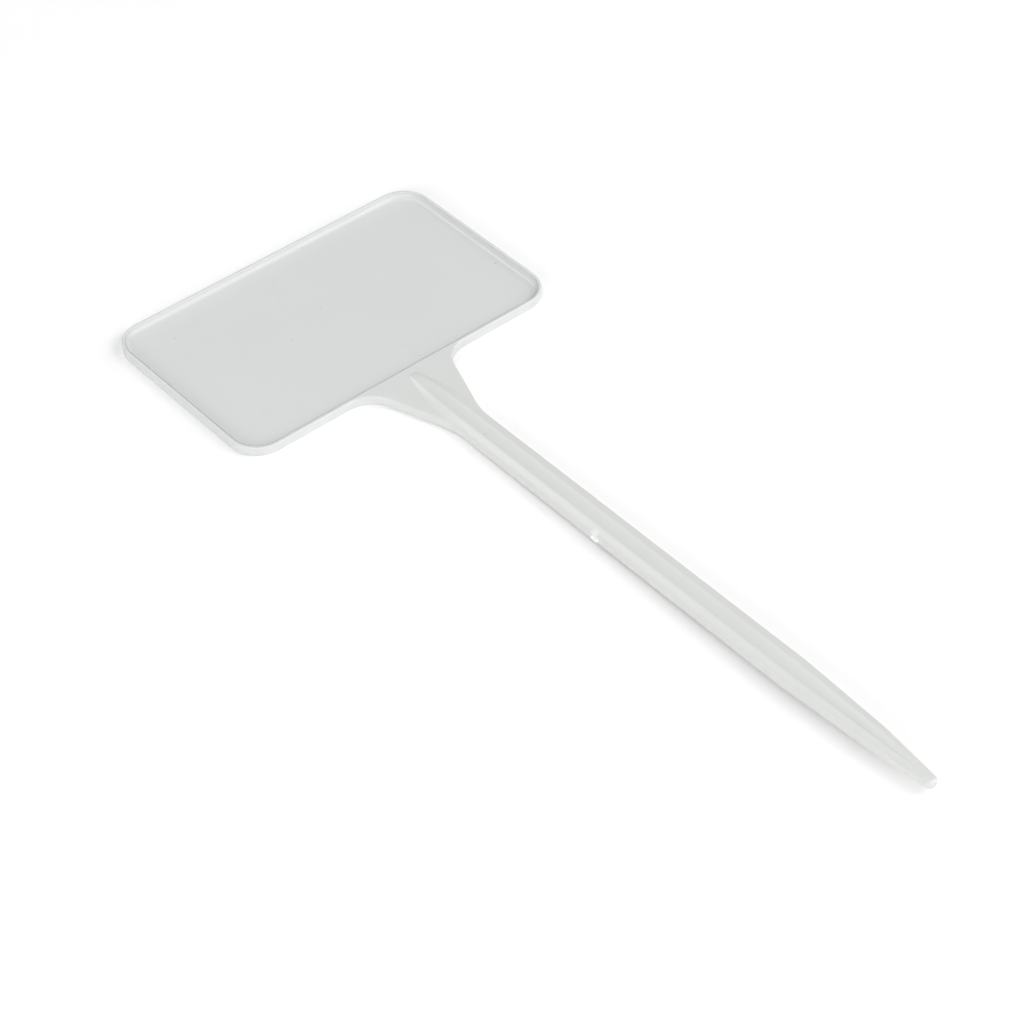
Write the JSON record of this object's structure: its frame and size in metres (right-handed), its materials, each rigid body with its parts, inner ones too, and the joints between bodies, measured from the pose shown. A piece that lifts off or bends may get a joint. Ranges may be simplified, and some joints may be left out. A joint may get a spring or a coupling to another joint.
{
  "type": "plant label stake",
  "caption": "White plastic T-shaped plant label: a shallow rimmed writing panel on a flared neck and a long ribbed spike with a blunt point.",
  "frame": {"origin": "middle of the whole outline, on the flat underside that the label lies on", "axes": "+X across the label's width, +Y from the spike's tip to the label's far edge, +Z out of the writing face"},
  "size_m": [0.1, 0.2426, 0.0031],
  "materials": {
    "white_plastic": "satin moulded white plastic, slightly translucent, with a fine even grain"
  },
  "bodies": {
    "root": {"writing_panel": "white_plastic", "raised_rim": "white_plastic", "neck_web": "white_plastic", "stake_blade": "white_plastic", "stake_point": "white_plastic", "stiffening_rib": "white_plastic", "gate_mark": "white_plastic"}
  },
  "joints": []
}
